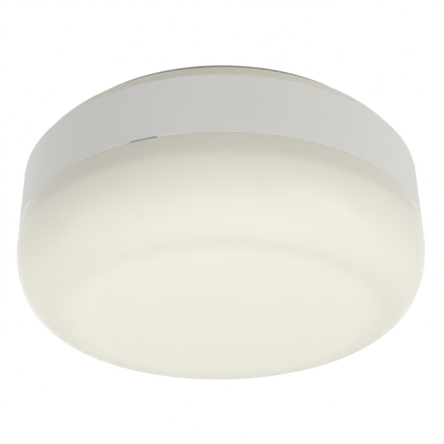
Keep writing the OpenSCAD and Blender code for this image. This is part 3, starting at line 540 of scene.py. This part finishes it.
def makeLamp(side):
    d, steps = lamp, lamp["turnSteps"]
    ball, capR, capEnd = d["globe"] / 2, d["capD"] / 2, d["capStart"] + d["capLong"]
    middle, neck, start = d["long"] - ball, capR - d["capWall"] - d["glassGap"], capEnd - d["glassStart"]
    outer = globeLine(neck, ball, start, capEnd, middle)
    inner = globeLine(neck - d["glass"], ball - d["glass"], start, capEnd, middle)
    globe = spinPiece("lampGlobe" + side.upper(), inner[::-1] + outer, steps)
    setDown(globe, onLamp(side))
    dress(globe, finish["globe"], f"lamp_{side}_body", "globe", "lamp_globe_" + side)

    low, wall, hole = d["capStart"], d["capWall"], capR - d["capFlange"]
    top = low + d["capLong"]
    profile = [(hole, low), (capR - 2, low), (capR - 0.9, low + 0.8)]
    profile += [(capR, z) for z in threadRows(low + 2, top - 4.4)]
    profile += arc((capR - 0.2, top - 3.4), 0.6, -60, 0, 3) + [(capR + 0.4, top - 0.3)]
    profile += arc((capR + 0.1, top - 0.3), 0.3, 0, 90, 3) + [(capR - wall, top)]
    profile += [(capR - wall, z) for z in threadRows(top - 4.6, low + 2.3)]
    profile += [(capR - 1.2, low + 1.1), (capR - 2.2, low + wall), (hole, low + wall)]
    cap = spinPiece("lampCap" + side.upper(), profile, steps, closed=True)
    first, last, fade = d["capRoll"]
    rollThread(cap, d["threadPitch"], d["threadDeep"], capR - 0.7, capR + d["near"],
               low + first, top - last, fade, True)
    setDown(cap, onLamp(side))
    dress(cap, finish["cap"], f"lamp_{side}_body", "cap", "lamp_cap_" + side)

    tipR, high, foot, count = d["tipR"], d["tipHigh"], d["tipFoot"], d["tipSteps"]
    full = high * d["tipFull"]
    profile = [(0, foot)]
    profile += [(tipR * i / count, full * (i / count) ** 3 + foot) for i in range(1, count + 1)]
    tip = spinPiece("lampTip" + side.upper(), profile + [(tipR, high), (0, high)], steps // 2)
    setDown(tip, onLamp(side))
    dress(tip, finish["solder"], f"lamp_{side}_tip_body", "solder", "lamp_tip_" + side)


def makeHolder(side):
    d, h = lamp, holder
    shellR, wall, low = d["capD"] / 2 + d["shellGap"], d["shellWall"], d["shellStart"]
    top, foot, hole = low + d["shellLong"], low + d["shellFoot"], d["chamber"] - d["shellFlange"]
    rowFoot, rowTop = low + d["shellRows"][0], top - d["shellRows"][1]
    profile = [(hole, low), (shellR + wall, low)]
    profile += [(shellR + wall, z) for z in threadRows(rowFoot, rowTop)]
    profile += arc((shellR + wall / 2, top - wall / 2), wall / 2, 0, 180, 6)
    profile += [(shellR, z) for z in threadRows(rowTop, rowFoot)]
    profile += [(shellR, foot), (hole, foot)]
    shell = spinPiece("threadShell" + side.upper(), profile, d["turnSteps"], closed=True)
    first, last, fade = d["shellRoll"]
    rollThread(shell, d["threadPitch"], d["threadDeep"], shellR - d["near"], shellR + wall + d["near"],
               low + first, top - last, fade, False)
    setDown(shell, onLamp(side))
    dress(shell, finish["brass"], "housing", "brass", "thread_shell_" + side)

    boreR = shellR + wall + h["boreGap"]
    mouth, reach, back, waist, waistAt = h["mouth"], h["reach"], h["back"], h["waist"], h["waistAt"]
    nippleR, ease, tailRound = h["nippleR"], h["ease"], h["tailRound"]
    rim, edge = h["rimRound"], h["boreRound"]
    profile = [(0, -back + h["nippleIn"]), (nippleR, -back + h["nippleIn"]), (nippleR, -back + ease)]
    profile += [(nippleR + ease, -back), (h["tail"] - tailRound, -back)]
    profile += arc((h["tail"] - tailRound, -back + tailRound), tailRound, -90, 0, 8)
    profile += [(waist - 0.25, waistAt - 1.2), (waist + 0.1, waistAt - 0.2)]
    profile += arc((mouth - h["shoulderIn"], h["shoulderAt"]), h["shoulderRound"], -78, 0, 8)
    profile += [(mouth - 0.3, reach - 4), (mouth, reach - 3.6)]
    profile += arc((mouth - rim, reach - rim), rim, 0, 90, 8) + [(boreR + edge, reach)]
    profile += arc((boreR + edge, reach - edge), edge, 90, 180, 4)
    profile += [(boreR, low), (d["chamber"], low), (d["chamber"], h["floor"]), (0, h["floor"])]
    body = spinPiece("holderBody" + side.upper(), profile, d["turnSteps"])
    setDown(body, onLamp(side))
    dress(body, finish["holder"], "housing", "holder", "holder_body_" + side)


for side in lampTurn:
    makeLamp(side)
    makeHolder(side)
print("lamps and lampholders made")


# Screws
screwKinds = {
    "small": {"shank": 1.45, "head": 2.8, "high": 2.0},
    "sheet": {"shank": 1.45, "head": 3.0, "high": 2.2},
    "clamp": {"shank": 1.45, "head": 1.9, "high": 2.0, "slots": 1},
    "block": {"shank": 1.45, "head": 2.4, "high": 2.0},
    "earth": {"shank": 1.45, "head": 2.6, "high": 2.0},
}
screwForm = {
    "pitch": 1.1, "deep": 0.36, "rows": 7, "threadStart": 0.5, "threadOver": 0.6, "threadFade": 0.5,
    "near": 0.02, "headCurve": ((0.55, 0.97), (0.8, 0.84), (0.95, 0.55), (1, 0.25)), "edge": 0.12,
    "point": 1.6, "pointShare": 0.3, "pointR": 0.55, "pointEnd": 0.35, "slotWide": 0.26, "slotDeep": 0.55,
    "slotLong": 1.05, "slotTaper": (0.55, 0.7, 1), "turnSteps": 24, "sharp": 38,
}


# A pan head under z = 0, and a shank with a rolled thread above it
def makeScrew(kind, length):
    k, f = screwKinds[kind], screwForm
    r, head, high, edge = k["shank"], k["head"], k["high"], f["edge"]
    point = min(f["point"], length * f["pointShare"])
    profile = [(0, -high)] + [(head * out, -high * down) for out, down in f["headCurve"]]
    profile += [(head, -edge), (head - edge, 0), (r, 0)]
    count = max(3, round((length - point) / f["pitch"] * f["rows"]))
    profile += [(r, (length - point) * i / count) for i in range(1, count + 1)]
    profile += [(r * f["pointR"], length - point * f["pointEnd"]), (0, length)]
    screw = spinPiece("screw", profile, f["turnSteps"])
    rollThread(screw, f["pitch"], f["deep"], r - f["near"], r + f["near"], f["threadStart"],
               length - point + f["threadOver"], f["threadFade"], False)
    for turn in (0, math.pi / 2)[:k.get("slots", 2)]:
        clearSelection()
        bpy.ops.mesh.primitive_cube_add(size=1, location=(0, 0, -high * mm), rotation=(0, 0, turn))
        cutter = bpy.context.object
        deep = high * f["slotDeep"]
        cutter.scale = (head * f["slotLong"] * mm, head * f["slotWide"] * mm, 2 * deep * mm)
        bpy.ops.object.transform_apply(location=False, rotation=False, scale=True)
        bpy.ops.object.mode_set(mode="EDIT")
        bpy.ops.mesh.select_all(action="DESELECT")
        bpy.ops.object.mode_set(mode="OBJECT")
        for face in cutter.data.polygons:
            face.select = face.normal.z > 0.5
        bpy.ops.object.mode_set(mode="EDIT")
        bpy.ops.mesh.select_mode(type="FACE")
        bpy.ops.transform.resize(value=f["slotTaper"], center_override=(0, 0, 0))
        bpy.ops.object.mode_set(mode="OBJECT")
        pickOnly(screw)
        recess = screw.modifiers.new("recess", "BOOLEAN")
        recess.object = cutter
        recess.solver = "EXACT"
        bpy.ops.object.modifier_apply(modifier=recess.name)
        bpy.data.objects.remove(cutter)
    pickOnly(screw)
    bpy.ops.object.shade_smooth_by_angle(angle=math.radians(f["sharp"]))
    return screw


def outward(angle, radius, z):
    turn = Matrix.Rotation(math.radians(angle), 4, "Z")
    return turn @ Matrix.Translation(Vector((radius, 0, -z)) * mm) @ Matrix.Rotation(math.pi / 2, 4, "Y")


def upward(x, y, z):
    return Matrix.Translation(Vector((x, y, -z)) * mm)


# Where the screws sit, in millimetres and degrees; "Down" is the depth below the ceiling face
seat = {
    "count": 3, "ringTurn": 251.3, "ringDown": 30, "upstandIn": 117.5, "clipTurn": 311.3, "clipDown": 34,
    "clipFace": 114.9, "postCircle": 88, "trayDown": 21.2, "bracketX": 52.0, "bracketGap": 9.0,
    "bracketDown": 22.7, "blockY": 86, "blockGap": 5.5, "blockDown": 32, "poles": (-11, 0, 11), "poleGap": 4,
    "poleDown": 33, "earth": (24, 84, 22),
}
thirds = [360 * i / seat["count"] for i in range(seat["count"])]
ringSeat = math.sqrt(seat["upstandIn"] ** 2 - screwKinds["small"]["head"] ** 2)
post = seat["postCircle"] * math.sqrt(0.5)
screwGroups = [
    {"name": "ringScrews", "node": "ring_screws", "kind": "small", "long": 6.1,
     "places": [outward(seat["ringTurn"] + turn, ringSeat, seat["ringDown"]) for turn in thirds]},
    {"name": "clipScrews", "node": "clip_screws", "kind": "small", "long": 4.1,
     "places": [outward(seat["clipTurn"] + turn, seat["clipFace"], seat["clipDown"]) for turn in thirds]},
    {"name": "trayScrews", "node": "tray_screws", "kind": "sheet", "long": 11.2,
     "places": [upward(x * post, y * post, seat["trayDown"]) for x in (-1, 1) for y in (-1, 1)]},
    {"name": "bracketScrews", "node": "bracket_screws", "kind": "sheet", "long": 6.0,
     "places": [upward(-x * seat["bracketX"], x * lamp["side"] + y * seat["bracketGap"], seat["bracketDown"])
                for x in (-1, 1) for y in (-1, 1)]},
    {"name": "terminalScrews", "node": "terminal_screws", "kind": "clamp", "long": 3.9,
     "places": [upward(x, seat["blockY"] + y * seat["poleGap"], seat["poleDown"])
                for x in seat["poles"] for y in (-1, 1)]},
    {"name": "blockScrews", "node": "block_screws", "kind": "block", "long": 13.8,
     "places": [upward(x * seat["blockGap"], seat["blockY"], seat["blockDown"]) for x in (-1, 1)]},
    {"name": "earthScrew", "node": "earth_screw", "kind": "earth", "long": 6.0,
     "places": [upward(*seat["earth"])]},
]
random.seed(7)
for group in screwGroups:
    model = makeScrew(group["kind"], group["long"])
    copies = []
    for place in group["places"]:
        copy = model.copy()
        copy.data = model.data.copy()
        scene.collection.objects.link(copy)
        copies.append(setDown(copy, place @ Matrix.Rotation(random.uniform(0, math.pi), 4, "Z")))
    bpy.data.objects.remove(model)
    pickOnly(*copies)
    if len(copies) > 1:
        bpy.ops.object.join()
    copies[0].name = copies[0].data.name = group["name"]
    dress(copies[0], finish["screw"], "housing", "screw", group["node"])
print("screws made:", sum(len(group["places"]) for group in screwGroups))


# Wires
# The routes are those of part.scad, in millimetres
wire = {
    "across": 1.9, "between": 0.12, "copper": 1.1, "bare": 6.0, "bareReach": 20.0, "step": 0.02, "sides": 5,
    "steps": 6, "twist": -0.12, "sharp": 50,
}
# How far each wire of a pair lies from the middle between them
pair = wire["across"] / 2 + wire["between"]
wireRoutes = {
    "liveWireA": {"node": "live_wire_a", "slot": "live", "points": [
        (-34, 34 - pair, -58), (-50, 34 - pair, -58), (-59, 33, -57.5), (-66.5, 34.5, -52), (-69, 38.5, -42),
        (-68, 44, -32), (-62, 51, -25), (-53, 57, -22.8), (-42, 60.3, -22.8), (-30, 63.5, -22.8),
        (-20, 67, -23.8), (-14, 71, -26.5), (-11 - pair, 75, -28), (-11 - pair, 84, -28)]},
    "neutralWireA": {"node": "neutral_wire_a", "slot": "neutral", "points": [
        (-34, 34 + pair, -58), (-50, 34 + pair, -58), (-58, 35.5, -56.5), (-64, 37, -51), (-66, 40, -42),
        (-65, 44, -33), (-60, 49, -26.5), (-52, 54, -23.6), (-42, 57.3, -22.8), (-30, 60, -22.8),
        (-15, 61.5, -22.8), (0, 62.5, -23.2), (7, 64.5, -25), (11 - pair, 68.5, -27.5),
        (11 - pair, 73, -28), (11 - pair, 84, -28)]},
    "liveWireB": {"node": "live_wire_b", "slot": "live", "points": [
        (34, -34 + pair, -58), (50, -34 + pair, -58), (59, -33.5, -57.5), (66, -36.5, -52), (70, -42, -43),
        (71.5, -47, -34), (71.3, -50, -26), (71.3, -50, -20), (70.5, -45, -15.5), (66, -30, -14),
        (60, -8, -14), (53, 20, -14), (45, 46, -14), (38.5, 61, -14.8), (35.6, 68, -18.5), (35.3, 70, -23),
        (33.8, 69.3, -28), (28, 68.3, -32), (20, 68, -33.5), (8, 68, -33.5), (-3, 69, -32.5),
        (-9.2, 72, -29.5), (-11 + pair, 75.5, -28), (-11 + pair, 84, -28)]},
    "neutralWireB": {"node": "neutral_wire_b", "slot": "neutral", "points": [
        (34, -34 - pair, -58), (50, -34 - pair, -58), (58, -36, -56.5), (63, -39.5, -51), (66, -44, -42),
        (68.3, -48, -34), (68.7, -50, -26), (68.7, -50, -20), (67.2, -44, -15.5), (63, -30, -14),
        (57, -8, -14), (50, 20, -14), (42, 46, -14), (36, 60, -14.8), (33, 67.3, -18.5), (32.7, 70, -22.5),
        (30.5, 71.3, -25.8), (25, 71.5, -28.5), (17, 71.9, -29), (12.6, 74, -28.4), (11 + pair, 78, -28),
        (11 + pair, 84, -28)]},
    "earthWire": {"node": "earth_wire", "slot": "earth", "points": [
        (24, 78.2, -22.9), (24, 73.7, -22.9), (21, 70.5, -22.9), (14, 69.5, -22.9), (6, 70, -23.5),
        (1, 72.5, -26), (0, 76.5, -28), (0, 84, -28)]},
}


def smoothRoute(points, steps):
    line = [Vector(p) for p in points]
    out = []
    for i in range(len(line) - 1):
        a, b = line[i], line[i + 1]
        m = b - a if i == 0 else (b - line[i - 1]) / 2
        w = b - a if i == len(line) - 2 else (line[i + 2] - a) / 2
        for j in range(steps):
            t = j / steps
            out.append((2 * t ** 3 - 3 * t * t + 1) * a + (t ** 3 - 2 * t * t + t) * m
                       + (3 * t * t - 2 * t ** 3) * b + (t ** 3 - t * t) * w)
    return out + [line[-1]]


# Keeps on each point how far it lies towards the stripe's side of the wire, from -1 to 1
def markStripe(data, line):
    side, turned = Vector((0, 0, 1)), []
    for i, point in enumerate(line):
        way = (line[min(i + 1, len(line) - 1)] - line[max(i - 1, 0)]).normalized()
        side = (side - way * side.dot(way)).normalized()
        twist = wire["twist"] * i
        turned.append((point, side * math.cos(twist) + way.cross(side) * math.sin(twist)))
    stripe = data.attributes.new("stripe", "FLOAT", "POINT")
    for vertex, value in zip(data.vertices, stripe.data):
        place = vertex.co / mm
        point, towards = min(turned, key=lambda t: (t[0] - place).length_squared)
        value.value = (place - point).normalized().dot(towards)


def makeWire(name, w):
    line = smoothRoute(w["points"], wire["steps"])
    bare, left = len(line) - 1, wire["bare"]
    while bare and left > 0:
        left -= (line[bare] - line[bare - 1]).length
        bare -= 1
    line.insert(bare + 1, line[bare] + (line[bare + 1] - line[bare]).normalized() * wire["step"])
    data = bpy.data.curves.new(name, "CURVE")
    data.dimensions = "3D"
    data.bevel_depth = wire["across"] / 2 * mm
    data.bevel_resolution = wire["sides"] - 2
    data.use_fill_caps = True
    spline = data.splines.new("POLY")
    spline.points.add(len(line) - 1)
    for i, (point, place) in enumerate(zip(spline.points, line)):
        point.co = (*(place * mm), 1)
        point.radius = wire["copper"] / wire["across"] if i > bare else 1.0
    piece = bpy.data.objects.new(name, data)
    scene.collection.objects.link(piece)
    pickOnly(piece)
    bpy.ops.object.convert(target="MESH")
    piece = bpy.context.object
    bpy.ops.object.mode_set(mode="EDIT")
    bpy.ops.mesh.select_all(action="SELECT")
    bpy.ops.mesh.remove_doubles(threshold=weld)
    bpy.ops.mesh.normals_make_consistent(inside=False)
    bpy.ops.object.mode_set(mode="OBJECT")
    bpy.ops.object.shade_smooth_by_angle(angle=math.radians(wire["sharp"]))
    piece.data.materials.clear()
    piece.data.materials.append(finish[w["slot"]])
    piece.data.materials.append(finish["copper"])
    markStripe(piece.data, line)
    stripped, end = line[bare] * mm, line[-1] * mm
    for face in piece.data.polygons:
        nearEnd = (face.center - end).length < wire["bareReach"] * mm
        face.material_index = 1 if nearEnd and face.center.y > stripped.y else 0
    dress(piece, None, "housing", w["slot"], w["node"])


for name, w in wireRoutes.items():
    makeWire(name, w)
print("wires made:", len(wireRoutes))


# Studio
studio = {
    "floorZ": -2.4,
    "floorSize": 14.0,
    "floorColour": (0.93, 0.93, 0.92),
    "floorRough": 0.8,
    "roomBelow": (0.38, 0.38, 0.38),
    "roomAbove": (0.13, 0.13, 0.13),
    "roomEdge": (-0.15, 0.35),
    "aim": (0, 0, -0.06),
    "lights": {
        "underLight": {"place": (0, -0.1, -1.7), "size": (2, 2), "power": 13.5, "mirrored": False},
        "lowFrontLight": {"place": (0, -1.25, -1.35), "size": (1.4, 1.4), "power": 3.6, "mirrored": False},
        "rightLight": {"place": (1.6, -1.3, -0.45), "size": (1.2, 1.2), "power": 24, "mirrored": False},
        "leftLight": {"place": (-1.75, -0.75, -0.55), "size": (1.2, 1.2), "power": 17, "mirrored": False},
        "rearLight": {"place": (-0.3, 1.9, 0.7), "size": (1.6, 1.6), "power": 20, "mirrored": False},
        "topLight": {"place": (0, 0.7, 1.7), "size": (1.6, 1.6), "power": 15, "mirrored": False},
        "leftGlint": {"place": (-1.6, 0, -0.65), "size": (0.4, 0.16), "power": 0.25, "mirrored": True},
        "rightGlint": {"place": (1.5, -0.55, -0.55), "size": (0.7, 0.3), "power": 0.6, "mirrored": True},
        "frontGlint": {"place": (0.1, -1.4, -0.9), "size": (1.3, 0.3), "power": 0.8, "mirrored": True},
    },
}


# How much of a ray's light is plain white: all of it for the camera, in glass and in a gloss
def whiteRays(tree):
    rays = tree.nodes.new("ShaderNodeLightPath")
    seen = tree.nodes.new("ShaderNodeMath")
    seen.operation = "MAXIMUM"
    tree.links.new(rays.outputs["Is Camera Ray"], seen.inputs[0])
    tree.links.new(rays.outputs["Is Transmission Ray"], seen.inputs[1])
    either = tree.nodes.new("ShaderNodeMath")
    either.operation = "MAXIMUM"
    tree.links.new(seen.outputs[0], either.inputs[0])
    tree.links.new(rays.outputs["Is Glossy Ray"], either.inputs[1])
    return either.outputs[0]


def makeFloor(s):
    clearSelection()
    bpy.ops.mesh.primitive_plane_add(size=s["floorSize"], location=(0, 0, s["floorZ"]))
    floor = bpy.context.object
    floor.name = "floor"
    paint = bpy.data.materials.new("floorPaint")
    paint.use_nodes = True
    tree = paint.node_tree
    shader = tree.nodes["Principled BSDF"]
    shader.inputs["Base Color"].default_value = linear(s["floorColour"])
    shader.inputs["Roughness"].default_value = s["floorRough"]
    glow = tree.nodes.new("ShaderNodeEmission")
    blend = tree.nodes.new("ShaderNodeMixShader")
    tree.links.new(whiteRays(tree), blend.inputs["Fac"])
    tree.links.new(shader.outputs["BSDF"], blend.inputs[1])
    tree.links.new(glow.outputs["Emission"], blend.inputs[2])
    tree.links.new(blend.outputs["Shader"], tree.nodes["Material Output"].inputs["Surface"])
    floor.data.materials.append(paint)


def makeWorld(s):
    world = bpy.data.worlds.new("room")
    world.use_nodes = True
    scene.world = world
    tree = world.node_tree
    way = tree.nodes.new("ShaderNodeTexCoord")
    split = tree.nodes.new("ShaderNodeSeparateXYZ")
    tree.links.new(way.outputs["Generated"], split.inputs[0])
    rise = tree.nodes.new("ShaderNodeMapRange")
    rise.inputs["From Min"].default_value, rise.inputs["From Max"].default_value = s["roomEdge"]
    tree.links.new(split.outputs["Z"], rise.inputs["Value"])
    walls = tree.nodes.new("ShaderNodeMix")
    walls.data_type = "RGBA"
    walls.inputs["A"].default_value = s["roomBelow"] + (1,)
    walls.inputs["B"].default_value = s["roomAbove"] + (1,)
    tree.links.new(rise.outputs["Result"], walls.inputs["Factor"])
    blend = tree.nodes.new("ShaderNodeMix")
    blend.data_type = "RGBA"
    blend.inputs["B"].default_value = (1, 1, 1, 1)
    tree.links.new(walls.outputs["Result"], blend.inputs["A"])
    tree.links.new(whiteRays(tree), blend.inputs["Factor"])
    tree.links.new(blend.outputs["Result"], tree.nodes["Background"].inputs["Color"])


def makeLights(s):
    aim = Vector(s["aim"])
    for name, look in s["lights"].items():
        data = bpy.data.lights.new(name, "AREA")
        data.shape = "RECTANGLE"
        data.size, data.size_y = look["size"]
        data.energy = look["power"]
        light = bpy.data.objects.new(name, data)
        scene.collection.objects.link(light)
        light.location = look["place"]
        light.rotation_euler = (aim - light.location).to_track_quat("-Z", "Y").to_euler()
        light.visible_glossy = look["mirrored"]


makeFloor(studio)
makeWorld(studio)
makeLights(studio)
scene.view_settings.view_transform = "Standard"
print("studio built")
